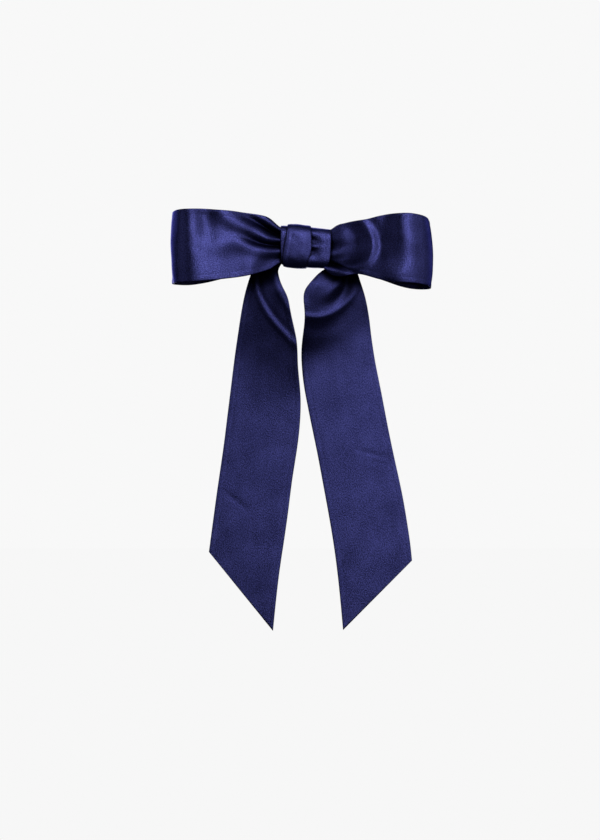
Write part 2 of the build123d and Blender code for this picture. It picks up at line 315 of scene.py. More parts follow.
def satin(name="satin_navy", painted_shade_from=0.64):
    m, nt, b = new_mat(name)
    L = nt.links.new
    uv = node(nt, "ShaderNodeUVMap", uv_map="UVMap")
    # fine warp floats along the ribbon: long thin noise
    mp = node(nt, "ShaderNodeMapping")
    mp.inputs["Scale"].default_value = (6500.0, 620.0, 1.0)
    L(uv.outputs[0], mp.inputs[0])
    warp = node(nt, "ShaderNodeTexNoise", noise_dimensions="2D")
    warp.inputs["Scale"].default_value = 1.0
    warp.inputs["Detail"].default_value = 2.0
    L(mp.outputs[0], warp.inputs["Vector"])
    # weave speckle, about a millimetre
    mp2 = node(nt, "ShaderNodeMapping")
    mp2.inputs["Scale"].default_value = (1900.0, 1300.0, 1.0)
    L(uv.outputs[0], mp2.inputs[0])
    speck = node(nt, "ShaderNodeTexNoise", noise_dimensions="2D")
    speck.inputs["Scale"].default_value = 1.0
    speck.inputs["Detail"].default_value = 2.0
    speck.inputs["Roughness"].default_value = 0.6
    L(mp2.outputs[0], speck.inputs["Vector"])
    # slow unevenness of the dye and the calendering
    mp3 = node(nt, "ShaderNodeMapping")
    mp3.inputs["Scale"].default_value = (110.0, 70.0, 1.0)
    L(uv.outputs[0], mp3.inputs[0])
    cloud = node(nt, "ShaderNodeTexNoise", noise_dimensions="2D")
    cloud.inputs["Scale"].default_value = 1.0
    cloud.inputs["Detail"].default_value = 4.0
    L(mp3.outputs[0], cloud.inputs["Vector"])
    mixv = node(nt, "ShaderNodeMath", operation="MULTIPLY_ADD")
    mixv.inputs[1].default_value = 0.80
    L(speck.outputs["Fac"], mixv.inputs[0])
    mul = node(nt, "ShaderNodeMath", operation="MULTIPLY")
    mul.inputs[1].default_value = 0.20
    L(cloud.outputs["Fac"], mul.inputs[0])
    L(mul.outputs[0], mixv.inputs[2])
    ramp = node(nt, "ShaderNodeValToRGB")
    e = ramp.color_ramp.elements
    e[0].position, e[0].color = 0.40, (0.020, 0.0215, 0.088, 1)
    e[1].position, e[1].color = 0.60, (0.056, 0.060, 0.232, 1)
    L(mixv.outputs[0], ramp.inputs[0])
    # painted shade: ambient occlusion darkens the base colour, so pleats, the tail tops under the loops and the insides
    # of the loops come out darker
    ao = node(nt, "ShaderNodeAmbientOcclusion", samples=12)
    ao.inputs["Distance"].default_value = 0.035
    painted_shade_range = node(nt, "ShaderNodeMapRange")
    painted_shade_range.inputs["From Min"].default_value = painted_shade_from
    painted_shade_range.inputs["From Max"].default_value = 0.97
    painted_shade_range.inputs["To Min"].default_value = 0.05
    painted_shade_range.inputs["To Max"].default_value = 1.0
    L(ao.outputs["AO"], painted_shade_range.inputs["Value"])
    # multiplies the painted shade into the base colour
    painted_shade_mul = node(nt, "ShaderNodeMix", data_type="RGBA", blend_type="MULTIPLY")
    painted_shade_mul.inputs[0].default_value = 1.0
    L(ramp.outputs[0], painted_shade_mul.inputs[6])
    L(painted_shade_range.outputs["Result"], painted_shade_mul.inputs[7])
    L(painted_shade_mul.outputs[2], b.inputs["Base Color"])
    # roughness varies a little with the weave
    rr = node(nt, "ShaderNodeMapRange")
    rr.inputs["To Min"].default_value = 0.29
    rr.inputs["To Max"].default_value = 0.39
    L(speck.outputs["Fac"], rr.inputs["Value"])
    L(rr.outputs["Result"], b.inputs["Roughness"])
    # bump: warp floats and weave
    bp = node(nt, "ShaderNodeBump")
    bp.inputs["Strength"].default_value = 0.35
    bp.inputs["Distance"].default_value = 0.00006
    L(warp.outputs["Fac"], bp.inputs["Height"])
    bp2 = node(nt, "ShaderNodeBump")
    bp2.inputs["Strength"].default_value = 0.40
    bp2.inputs["Distance"].default_value = 0.00025
    L(speck.outputs["Fac"], bp2.inputs["Height"])
    L(bp.outputs[0], bp2.inputs["Normal"])
    L(bp2.outputs[0], b.inputs["Normal"])
    tan = node(nt, "ShaderNodeTangent", direction_type="UV_MAP", uv_map="UVMap")
    L(tan.outputs[0], b.inputs["Tangent"])
    b.inputs["Anisotropic"].default_value = 0.6
    b.inputs["Metallic"].default_value = 0.96
    b.inputs["IOR"].default_value = 1.55
    b.inputs["Specular IOR Level"].default_value = 0.8
    b.inputs["Specular Tint"].default_value = (0.45, 0.45, 1.0, 1)
    b.inputs["Sheen Weight"].default_value = 0.03
    b.inputs["Sheen Roughness"].default_value = 0.4
    b.inputs["Sheen Tint"].default_value = (0.5, 0.5, 1.0, 1)
    return m


def metal(name, colour, rough, scale=900.0, worn=0.5):
    m, nt, b = new_mat(name)
    L = nt.links.new
    tc = node(nt, "ShaderNodeTexCoord")
    mp = node(nt, "ShaderNodeMapping")
    mp.inputs["Scale"].default_value = (scale * 0.08, scale, scale)
    L(tc.outputs["Object"], mp.inputs[0])
    n1 = node(nt, "ShaderNodeTexNoise")
    n1.inputs["Scale"].default_value = 4.0
    n1.inputs["Detail"].default_value = 4.0
    L(mp.outputs[0], n1.inputs["Vector"])
    n2 = node(nt, "ShaderNodeTexNoise")
    n2.inputs["Scale"].default_value = 320.0
    n2.inputs["Detail"].default_value = 5.0
    L(tc.outputs["Object"], n2.inputs["Vector"])
    geo = node(nt, "ShaderNodeNewGeometry")
    edge = node(nt, "ShaderNodeMapRange")
    edge.inputs["From Min"].default_value = 0.5
    edge.inputs["From Max"].default_value = 0.62
    L(geo.outputs["Pointiness"], edge.inputs["Value"])
    mx = node(nt, "ShaderNodeMix", data_type="RGBA")
    mx.inputs[6].default_value = (*[c * 0.86 for c in colour], 1)
    mx.inputs[7].default_value = (*colour, 1)
    L(n2.outputs["Fac"], mx.inputs[0])
    mx2 = node(nt, "ShaderNodeMix", data_type="RGBA")
    mx2.inputs[7].default_value = (*[min(1, c * 1.18) for c in colour], 1)
    ml = node(nt, "ShaderNodeMath", operation="MULTIPLY")
    ml.inputs[1].default_value = worn
    L(edge.outputs["Result"], ml.inputs[0])
    L(ml.outputs[0], mx2.inputs[0])
    L(mx.outputs[2], mx2.inputs[6])
    L(mx2.outputs[2], b.inputs["Base Color"])
    rr = node(nt, "ShaderNodeMapRange")
    rr.inputs["To Min"].default_value = rough * 0.75
    rr.inputs["To Max"].default_value = rough * 1.35
    L(n1.outputs["Fac"], rr.inputs["Value"])
    L(rr.outputs["Result"], b.inputs["Roughness"])
    bp = node(nt, "ShaderNodeBump")
    bp.inputs["Strength"].default_value = 0.25
    bp.inputs["Distance"].default_value = 0.00002
    L(n1.outputs["Fac"], bp.inputs["Height"])
    L(bp.outputs[0], b.inputs["Normal"])
    b.inputs["Metallic"].default_value = 1.0
    return m


def thread_mat(name="thread_navy"):
    m, nt, b = new_mat(name)
    L = nt.links.new
    tc = node(nt, "ShaderNodeTexCoord")
    w = node(nt, "ShaderNodeTexWave", wave_type="BANDS", bands_direction="DIAGONAL")
    w.inputs["Scale"].default_value = 900.0
    w.inputs["Distortion"].default_value = 1.5
    L(tc.outputs["Object"], w.inputs["Vector"])
    ramp = node(nt, "ShaderNodeValToRGB")
    e = ramp.color_ramp.elements
    e[0].color = (0.010, 0.011, 0.045, 1)
    e[1].color = (0.026, 0.028, 0.10, 1)
    L(w.outputs["Fac"], ramp.inputs[0])
    L(ramp.outputs[0], b.inputs["Base Color"])
    bp = node(nt, "ShaderNodeBump")
    bp.inputs["Strength"].default_value = 0.5
    bp.inputs["Distance"].default_value = 0.00008
    L(w.outputs["Fac"], bp.inputs["Height"])
    L(bp.outputs[0], b.inputs["Normal"])
    b.inputs["Roughness"].default_value = 0.5
    return m


# both satin copies carry painted shade from ambient occlusion; the tails' copy darkens more
SATIN = satin()
SATIN_TAILS_MORE_PAINTED_SHADE = satin("satin_navy_tails_painted_shade", 0.79)      # same satin with painted shade starting sooner: darker tail tops under the loops
NICKEL = metal("nickel_plate", (0.66, 0.64, 0.60), 0.24)
SPRING = metal("spring_steel", (0.50, 0.50, 0.50), 0.30)
PIN = metal("pin_nickel", (0.70, 0.69, 0.67), 0.18)
THREAD = thread_mat()


def put(ob, mat):
    ob.data.materials.clear()
    ob.data.materials.append(mat)


def cad_object(name):
    for o in bpy.data.objects:
        if o.get("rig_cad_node") and (o.name == name or o.get("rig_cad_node") == name):
            return o
    return bpy.data.objects.get(name)


# ------------------------------------------------------------------ loop ribbon
# stations round the strip: x, y, lower edge, upper edge
LEFT = [
    (-6.0, -17.0, -8.4, 9.0), (-11.0, -17.2, -8.6, 9.8), (-14.6, -17.9, -8.9, 11.0), (-18.1, -19.0, -11.1, 14.0),
    (-20.7, -19.9, -12.4, 16.1), (-23.6, -20.9, -13.4, 17.2), (-27.5, -22.2, -14.5, 18.0),
    (-33.5, -23.8, -15.9, 18.8), (-41.0, -25.4, -17.0, 19.9), (-48.5, -26.8, -17.8, 20.5),
    (-55.8, -27.9, -18.4, 21.0), (-62.0, -28.4, -18.8, 21.1), (-67.6, -27.0, -19.2, 20.9),
    (-71.8, -22.8, -19.5, 20.2), (-73.6, -17.0, -19.8, 19.2), (-72.9, -12.0, -20.3, 18.6),
    (-69.2, -8.6, -20.8, 18.3), (-63.6, -6.8, -20.9, 18.1), (-57.0, -6.3, -20.0, 17.9),
    (-50.5, -6.8, -18.6, 17.4), (-42.0, -8.2, -16.4, 16.2), (-33.0, -9.7, -14.4, 14.2),
    (-24.0, -11.0, -12.0, 11.8), (-17.5, -11.6, -9.9, 9.8), (-12.0, -11.9, -8.6, 8.8), (-6.0, -12.0, -8.4, 8.6),
]
RIGHT = [
    (6.0, -12.0, -8.4, 8.6), (12.0, -11.9, -9.0, 8.9), (17.5, -11.6, -10.6, 9.9), (24.0, -11.0, -12.6, 11.4),
    (31.0, -10.2, -14.6, 13.0), (38.1, -9.0, -16.9, 14.2), (45.5, -7.7, -19.4, 14.9), (52.0, -6.8, -21.6, 15.0),
    (58.4, -6.7, -23.0, 14.8), (63.4, -7.8, -23.3, 14.5), (67.3, -10.6, -23.0, 14.4), (68.9, -14.6, -22.3, 14.7),
    (68.3, -19.0, -21.5, 15.6), (65.8, -23.6, -20.8, 16.9), (61.6, -27.1, -20.0, 18.0), (57.0, -28.3, -19.5, 18.7),
    (52.0, -28.1, -19.2, 18.7), (47.0, -26.7, -18.7, 18.3), (42.6, -25.4, -18.1, 17.6), (38.5, -24.9, -17.2, 16.7),
    (33.4, -24.0, -15.7, 15.4), (28.6, -22.7, -14.8, 14.6), (24.4, -21.2, -15.2, 13.9), (20.2, -19.9, -16.0, 12.9),
    (16.8, -18.8, -15.9, 11.8), (13.6, -18.0, -14.8, 9.6), (10.6, -17.5, -12.4, 9.0), (6.0, -17.0, -9.4, 8.8),
]


def build_loops():
    st = np.array(LEFT + RIGHT + [LEFT[0]], float)
    d = np.linalg.norm(np.diff(st[:, :2], axis=0), axis=1)
    t = np.concatenate([[0], np.cumsum(d)])
    c = Cubic(t, st, closed=True)
    # even steps along the strip
    fine = np.linspace(0, t[-1], 6001)
    q = c(fine)
    s = chord(q[:, :2])
    nu, nv = 520, 81
    want = np.linspace(0, s[-1], nu + 1)[:-1]
    tt = np.interp(want, s, fine)
    q = c(tt)
    v = np.linspace(0, 1, nv)
    X = np.repeat(q[:, :1], nv, 1)
    Y = np.repeat(q[:, 1:2], nv, 1)
    Z = q[:, 2:3] + 0.42 + (q[:, 3:4] - q[:, 2:3] - 0.84) * v[None, :]
    # plan tangent and outward normal of the strip
    dx = np.gradient(np.concatenate([q[-2:, 0], q[:, 0], q[:2, 0]]))[2:-2]
    dy = np.gradient(np.concatenate([q[-2:, 1], q[:, 1], q[:2, 1]]))[2:-2]
    ln = np.hypot(dx, dy)
    nx, ny = -dy / ln, dx / ln          # left of travel
    # front layers travel -X on the left loop and -X on the right loop
    front = smoothstep(-ny, 0.15, 0.75)  # 1 where the strip faces the viewer
    out_x, out_y = nx, ny
    # the sign of the normal that points outwards, away from the middle of the loop's hollow
    cx = np.clip(q[:, 0], -62.0, 58.0)
    cy = -14.5 - 2.3 * smoothstep(np.abs(q[:, 0]), 18, 40)
    sgn = np.where((q[:, 0] - cx) * nx + (q[:, 1] - cy) * ny >= 0, 1.0, -1.0)
    ox, oy = nx * sgn, ny * sgn
    isfront = smoothstep(-oy, 0.10, 0.80)[:, None] * (q[:, 1] < -14.5)[:, None]
    isback = smoothstep(oy, 0.10, 0.80)[:, None] * (q[:, 1] >= -14.5)[:, None]
    atend = (1 - np.abs(oy))[:, None]
    D = np.zeros_like(X)
    # --- left loop, front
    left = (X < 0)
    Lf = np.zeros_like(X)
    Lf += fold(X, Z, [(-54, 2.5, 0, 5.0), (-47, 4.0, 0.5, 4.6), (-41, 4.6, 0.9, 4.0), (-35.5, 2.4, 1.3, 3.4),
                      (-30, -0.4, 1.6, 3.0), (-23.8, -2.0, 1.9, 2.6), (-13, -2.2, 1.7, 2.2), (-4, -2, 1.2, 2)])
    Lf += fold(X, Z, [(-46, 9.5, 0, 3.0), (-38, 7.6, -0.6, 2.6), (-32.6, 5.3, -1.3, 1.9), (-28, 3.2, -1.9, 1.6),
                      (-23.3, 1.6, -2.0, 1.3), (-13, 0.8, -1.8, 1.2), (-4, 1, -1.2, 1.4)])
    Lf += fold(X, Z, [(-56.0, 23, -1.2, 3.8), (-55.4, 17, -1.9, 3.8), (-53.6, 10, -1.7, 3.8), (-50.5, 4.5, -0.5, 3.6)])
    Lf += fold(X, Z, [(-47, 23, 1.6, 3.6), (-45.0, 17.5, 1.9, 3.5), (-38.0, 12.6, 1.6, 3.1), (-28.8, 8.8, 1.6, 2.4), (-22.2, 5.0, 2.0, 1.8),
                      (-13, 3.8, 1.8, 1.4), (-4, 3.6, 1.2, 1.4)])
    Lf += fold(X, Z, [(-39, 21.5, 0, 2.4), (-33, 17.4, -0.9, 2.0), (-27, 14.0, -1.8, 1.6), (-22, 11.0, -2.4, 1.35),
                      (-18, 8.5, -2.6, 1.2), (-13, 6.2, -2.6, 1.1), (-4, 6, -1.4, 1.2)])
    Lf += fold(X, Z, [(-34, 19.4, 0, 2.2), (-28, 17.2, 0.7, 1.8), (-22.2, 14.4, 1.4, 1.7), (-17.5, 10.8, 1.8, 1.5),
                      (-13, 8.6, 1.6, 1.3), (-4, 8, 0.8, 1.3)])
    Lf += fold(X, Z, [(-35, -18, 0.2, 3.5), (-31.5, -12.5, 0.8, 3.2), (-27.5, -7.0, 0.7, 3.0), (-24, -3, 0.2, 3)])
    Lf += fold(X, Z, [(-27, -10, 0, 2.6), (-20, -7.0, -0.6, 2.2), (-13, -5.4, -0.9, 1.6), (-4, -5, -0.8, 1.4)])
    Lf += fold(X, Z, [(-63.5, 0.2, 0, 1.2), (-59, -1.4, -0.22, 1.2), (-54.5, -2.8, 0, 1.2)])
    Lf += bump_at(X, Z, -54.5, -11.5, 0.45, 4.0, 7.0, 30)
    Lf += bump_at(X, Z, -45.5, 12.5, -0.7, 6.5, 6.0, 20)
    Lf += bump_at(X, Z, -43.0, -9.0, -0.55, 6.0, 6.0, 0)
    # --- right loop, front
    Rf = np.zeros_like(X)
    Rf += fold(X, Z, [(27.4, 17.0, 0.5, 1.7), (31.0, 13.6, 0.8, 1.7), (34.4, 9.2, 1.0, 1.75), (36.4, 4.2, 1.1, 1.8),
                      (36.6, -1.0, 1.1, 1.8), (34.4, -6.6, 1.0, 1.8), (29.4, -10.4, 0.8, 1.8), (21.0, -11.6, 0.4, 1.7)])
    Rf += fold(X, Z, [(21.0, 13.0, -0.4, 3.0), (26.0, 8.4, -1.3, 3.4), (28.6, 3.0, -2.1, 3.7), (27.0, -3.0, -2.2, 3.5),
                      (21.0, -6.5, -1.7, 2.8), (13.0, -7.8, -0.9, 2.0)])
    Rf += fold(X, Z, [(52.6, 19.0, 0.3, 4.0), (54.6, 12.0, 0.5, 4.0), (57.0, 5.5, 0.6, 4.0), (57.6, -2.5, 0.6, 4.0),
                      (56.2, -10.5, 0.6, 3.8), (51.0, -15.6, 0.7, 3.0), (43.6, -15.6, 0.5, 2.6)])
    Rf += fold(X, Z, [(32.0, 18.5, -0.3, 2.2), (36.6, 12.0, -0.6, 2.3), (39.6, 4.8, -0.8, 2.4), (40.2, -2.0, -0.7, 2.4),
                      (38.0, -8.5, -0.3, 2.4)])
    Rf += bump_at(X, Z, 43.5, -10.5, 1.2, 4.2, 5.0)
    Rf += fold(X, Z, [(6.0, -7.2, -1.4, 0.9), (12.3, -9.0, -2.2, 0.85), (17.0, -10.6, -2.2, 0.9), (21.5, -12.2, -1.7, 0.95),
                      (26.0, -13.8, -0.8, 1.0), (30.0, -15.4, 0, 1.0)])
    Rf += fold(X, Z, [(8.0, -10.2, 0.8, 1.4), (13.0, -12.0, 1.3, 1.5), (18.0, -13.4, 1.2, 1.5), (23.0, -14.2, 0.7, 1.4),
                      (28.0, -15.0, 0, 1.4)])
    Rf += fold(X, Z, [(6.0, 3.8, 0.8, 1.6), (14.0, 5.2, 0.8, 1.9), (21.0, 7.2, 0.6, 2.6), (27, 9.4, 0.1, 3.0)])
    Rf += fold(X, Z, [(6.0, 0.0, -0.7, 1.6), (13.0, 0.6, -0.7, 1.8), (19.0, 1.2, -0.4, 2.4), (25, 2, 0, 3.0)])
    Rf += fold(X, Z, [(6.0, -3.6, 0.8, 1.5), (13.0, -3.8, 0.8, 1.8), (18.0, -3.6, 0.5, 2.2), (24, -3, 0, 3.0)])
    D += isfront * np.where(left, Lf, Rf)
    # --- backs: plain pleats that fan out of the knot
    Bk = np.zeros_like(X)
    for s_, k0 in ((-1, 1.0), (1, 0.9)):
        for z0, z1, a in ((6.0, 11.5, 1.3), (2.2, 4.0, -1.2), (-1.6, -2.5, 1.3), (-5.4, -9.0, -1.1)):
            Bk += fold(X, Z, [(s_ * 4, z0, a, 1.4), (s_ * 13, z0, a, 1.5), (s_ * 24, (z0 + z1) / 2, a * 0.7, 2.4),
                              (s_ * 38, z1, a * 0.25, 4.0), (s_ * 50, z1 * 1.2, 0, 5.0)]) * k0
    D += isback * Bk * 0.8
    # ends bulge a little at mid height
    edge = (2 * v[None, :] - 1)
    D += atend * np.where(left, 0.1 - 1.4 * edge ** 2 + 0.5 * np.maximum(edge, 0) ** 2, 0.3 - 1.6 * edge ** 2 - 0.8 * np.maximum(edge, 0) ** 2)
    # the lower margin of the back layer leans away, so it lies in its own shade
    D += isback * 1.6 * smoothstep(0.22 - v[None, :], 0, 0.22) ** 1.3 * smoothstep(np.abs(X), 34, 56)
    D += ripple(np.repeat(want[:, None], nv, 1), Z, 7, [(26, 0.22), (14, 0.10)]) * np.clip((np.abs(X) - 14) / 12, 0.1, 1)
    P = np.stack([X + ox[:, None] * D, Y + oy[:, None] * D, Z], 2)
    P = relax(P, 2, closed=True)
    P = to_depth(P)
    ob = sheet_mesh("loop_ribbon_satin", P, thick=0.9, closed=True)
    return ob, s[-1]


# ------------------------------------------------------------------ tails
# rows down the ribbon: left edge x, z, y; right edge x, z, y
LT = [
    (-4.0, 6.0, -9.3, -4.0, -7.5, -9.3), (-9.0, 6.2, -9.3, -9.0, -8.3, -9.3), (-14.5, 4.6, -9.3, -12.8, -9.0, -9.4),
    (-20.5, 0.0, -9.3, -14.4, -10.8, -10.7), (-26.0, -6.5, -9.3, -15.2, -13.0, -13.1), (-29.6, -13.4, -9.5, -15.0, -15.4, -14.7),
    (-31.6, -19.0, -10.3, -14.2, -18.4, -15.8), (-33.2, -24.6, -10.8, -12.6, -22.2, -16.8), (-34.6, -31.0, -10.6, -10.3, -27.0, -16.6),
    (-35.9, -38.5, -9.8, -8.7, -34.0, -15.6), (-37.1, -46.5, -8.5, -6.9, -42.5, -14.0), (-38.6, -56.7, -7.1, -5.0, -52.5, -12.0),
    (-40.0, -67.5, -6.5, -4.4, -65.0, -9.5), (-41.6, -80.6, -6.3, -3.1, -80.0, -7.2), (-43.2, -93.5, -6.3, -3.2, -94.5, -6.2),
    (-45.0, -108.0, -6.3, -4.9, -110.5, -6.2), (-47.0, -122.0, -6.4, -7.4, -126.5, -6.5), (-49.1, -136.5, -6.7, -9.6, -143.5, -6.9),
    (-50.8, -149.0, -7.0, -12.2, -162.0, -7.4), (-52.2, -159.5, -7.3, -14.9, -180.5, -7.9), (-53.2, -167.1, -7.5, -18.1, -210.4, -8.6),
]
RT = [
    (4.0, -7.5, -9.3, 4.0, 6.0, -9.3), (9.0, -8.4, -9.3, 9.0, 6.2, -9.3), (12.4, -9.6, -9.5, 14.5, 4.6, -9.3),
    (12.2, -11.2, -10.7, 20.2, 0.0, -9.3), (10.4, -12.4, -13.1, 24.8, -6.5, -9.3), (7.6, -13.9, -14.9, 27.8, -12.8, -9.6),
    (4.8, -16.6, -15.7, 29.2, -17.2, -10.4), (2.0, -19.8, -16.7, 30.6, -21.4, -10.8), (-0.5, -23.4, -16.7, 31.8, -25.2, -10.6),
    (-1.35, -27.8, -16.0, 32.8, -29.0, -10.2), (-0.9, -33.7, -14.8, 33.8, -34.0, -9.2), (-0.8, -40.3, -13.3, 34.8, -40.4, -7.9),
    (-1.6, -47.5, -10.9, 35.6, -47.4, -7.0), (-2.5, -56.7, -7.8, 36.8, -56.0, -6.6), (-2.2, -66.5, -6.6, 38.2, -64.5, -6.4),
    (-1.2, -75.5, -6.5, 39.8, -72.5, -6.3), (0.6, -85.5, -6.3, 41.6, -81.5, -6.2), (3.0, -97.5, -6.2, 43.6, -92.0, -6.2),
    (6.0, -112.0, -6.3, 46.2, -105.2, -6.3), (9.3, -129.5, -6.5, 49.6, -121.0, -6.5), (12.6, -147.5, -6.9, 53.0, -137.0, -6.8),
    (15.6, -166.0, -7.4, 55.4, -151.0, -7.1), (17.8, -183.5, -7.9, 56.9, -161.0, -7.4), (20.3, -209.9, -8.6, 58.1, -171.8, -7.8),
]


def build_tail(name, rows, folds, bumps, seed, nv=81, step=0.68):
    r = np.array(rows, float)
    mid = np.stack([(r[:, 0] + r[:, 3]) / 2, (r[:, 1] + r[:, 4]) / 2, (r[:, 2] + r[:, 5]) / 2], 1)
    t = chord(mid)
    c = Cubic(t, r)
    fine = np.linspace(0, t[-1], 4001)
    q = c(fine)
    m = np.stack([(q[:, 0] + q[:, 3]) / 2, (q[:, 1] + q[:, 4]) / 2, (q[:, 2] + q[:, 5]) / 2], 1)
    s = chord(m)
    nu = int(s[-1] / step)
    tt = np.interp(np.linspace(0, s[-1], nu), s, fine)
    q = c(tt)
    v = np.linspace(0, 1, nv)[None, :]
    e = (q[:, 3:5] - q[:, 0:2])
    e = e / np.linalg.norm(e, axis=1, keepdims=True) * 0.42
    q[:, 0:2] += e
    q[:, 3:5] -= e
    X = q[:, 0:1] * (1 - v) + q[:, 3:4] * v
    Z = q[:, 1:2] * (1 - v) + q[:, 4:5] * v
    sm = v * v * (3 - 2 * v) * 0.35 + v * 0.65
    Y = q[:, 2:3] * (1 - sm) + q[:, 5:6] * sm
    D = np.zeros_like(X)
    for f in folds:
        D += fold(X, Z, f)
    for b in bumps:
        D += bump_at(X, Z, *b)
    D += ripple(X, Z, seed, [(70, 0.10), (26, 0.05), (12, 0.02)])
    held = smoothstep(-Z, 6, 15)
    Y = Y - D * (0.25 + 0.75 * held)
    P = np.stack([X, Y, Z], 2)
    P = relax(P, 2)
    P = to_depth(P)
    return sheet_mesh(name, P, thick=0.9), s[-1]


LEFT_FOLDS = [
    # the long ridge from under the loop to the inner edge
    [(-26.9, -9, 0.3, 0.95), (-28.0, -17.3, 0.42, 0.95), (-27.2, -24.0, 0.46, 0.95), (-24.5, -30.8, 0.46, 1.0),
     (-19.6, -38.8, 0.46, 1.05), (-12.7, -46.8, 0.4, 1.1), (-5.3, -54.4, 0.3, 1.2)],
    # sharp drop beside it, then a wide hollow
    [(-25.0, -9, -0.2, 1.1), (-26.0, -17, -0.3, 1.1), (-25.1, -23.0, -0.34, 1.1), (-22.4, -29.4, -0.34, 1.15),
     (-17.6, -36.8, -0.3, 1.2), (-11.0, -44.4, -0.2, 1.2), (-5.0, -50.6, -0.1, 1.2)],
    [(-21.6, -9, -0.2, 2.6), (-22.4, -17, -0.3, 2.6), (-21.0, -23.0, -0.3, 2.6), (-18.0, -29.4, -0.3, 2.5),
     (-13.0, -36.4, -0.2, 2.4), (-6.8, -43.4, -0.1, 2.4)],
    # short ridge at the inner edge
    [(-17.6, -9, 0.2, 1.0), (-17.6, -16, 0.35, 1.0), (-16.2, -21.6, 0.42, 1.0), (-13.7, -26.8, 0.42, 1.0),
     (-11.0, -31.8, 0.35, 1.0), (-9.0, -35.6, 0.2, 1.0)],
    # outer soft valley
    [(-31.5, -20, -0.3, 2.6), (-32.0, -30, -0.3, 3.6), (-29, -42, -0.2, 5.0)],
    # small crease low down
    [(-46.0, -133.5, 0, 1.1), (-42.0, -136.0, -0.2, 1.1), (-36.0, -141.0, -0.16, 1.1), (-30.5, -146.0, 0, 1.1)],
]
RIGHT_FOLDS = [
    # the smile-shaped ridge
    [(-2.0, -37.6, 0.6, 1.15), (3.0, -38.6, 0.65, 1.15), (9.0, -38.3, 0.7, 1.15), (16.0, -35.4, 0.65, 1.15),
     (22.0, -30.6, 0.55, 1.15), (26.0, -26.0, 0.5, 1.15), (27.9, -20.5, 0.4, 1.15), (28.1, -13, 0.2, 1.15)],
    # wide trough under it
    [(-2.0, -43.8, -0.5, 2.8), (5.0, -44.6, -0.55, 2.8), (12.0, -43.4, -0.45, 3.0), (20.0, -39.0, -0.3, 3.2),
     (28.0, -31.6, -0.15, 3.2)],
    # dark pocket inside it
    [(8.0, -32.6, -0.3, 2.6), (15.0, -30.4, -0.7, 2.4), (20.0, -25.6, -1.3, 2.1),
     (22.2, -19.5, -1.6, 1.9), (22.2, -11, -1.0, 1.9)],
    # small fold above the pocket
    [(19.6, -13.0, 0.3, 1.6), (18.0, -18.0, 0.9, 1.6), (15.8, -22.4, 1.0, 1.7), (12.4, -26.8, 0.3, 1.9)],
    # inner edge rolls back
    [(6.5, -14.0, -0.4, 1.2), (2.6, -20.0, -0.6, 1.3), (0.4, -25.0, -0.5, 1.5), (0.2, -30.0, -0.2, 1.6)],
    # small creases low down
    [(26.0, -110.6, 0, 1.0), (34.0, -113.0, -0.22, 1.0), (43.0, -114.6, -0.16, 1.0), (47.5, -115.4, 0, 1.0)],
    [(31.0, -116.2, 0, 1.0), (38.5, -117.9, -0.16, 1.0), (46.5, -118.6, 0, 1.0)],
]


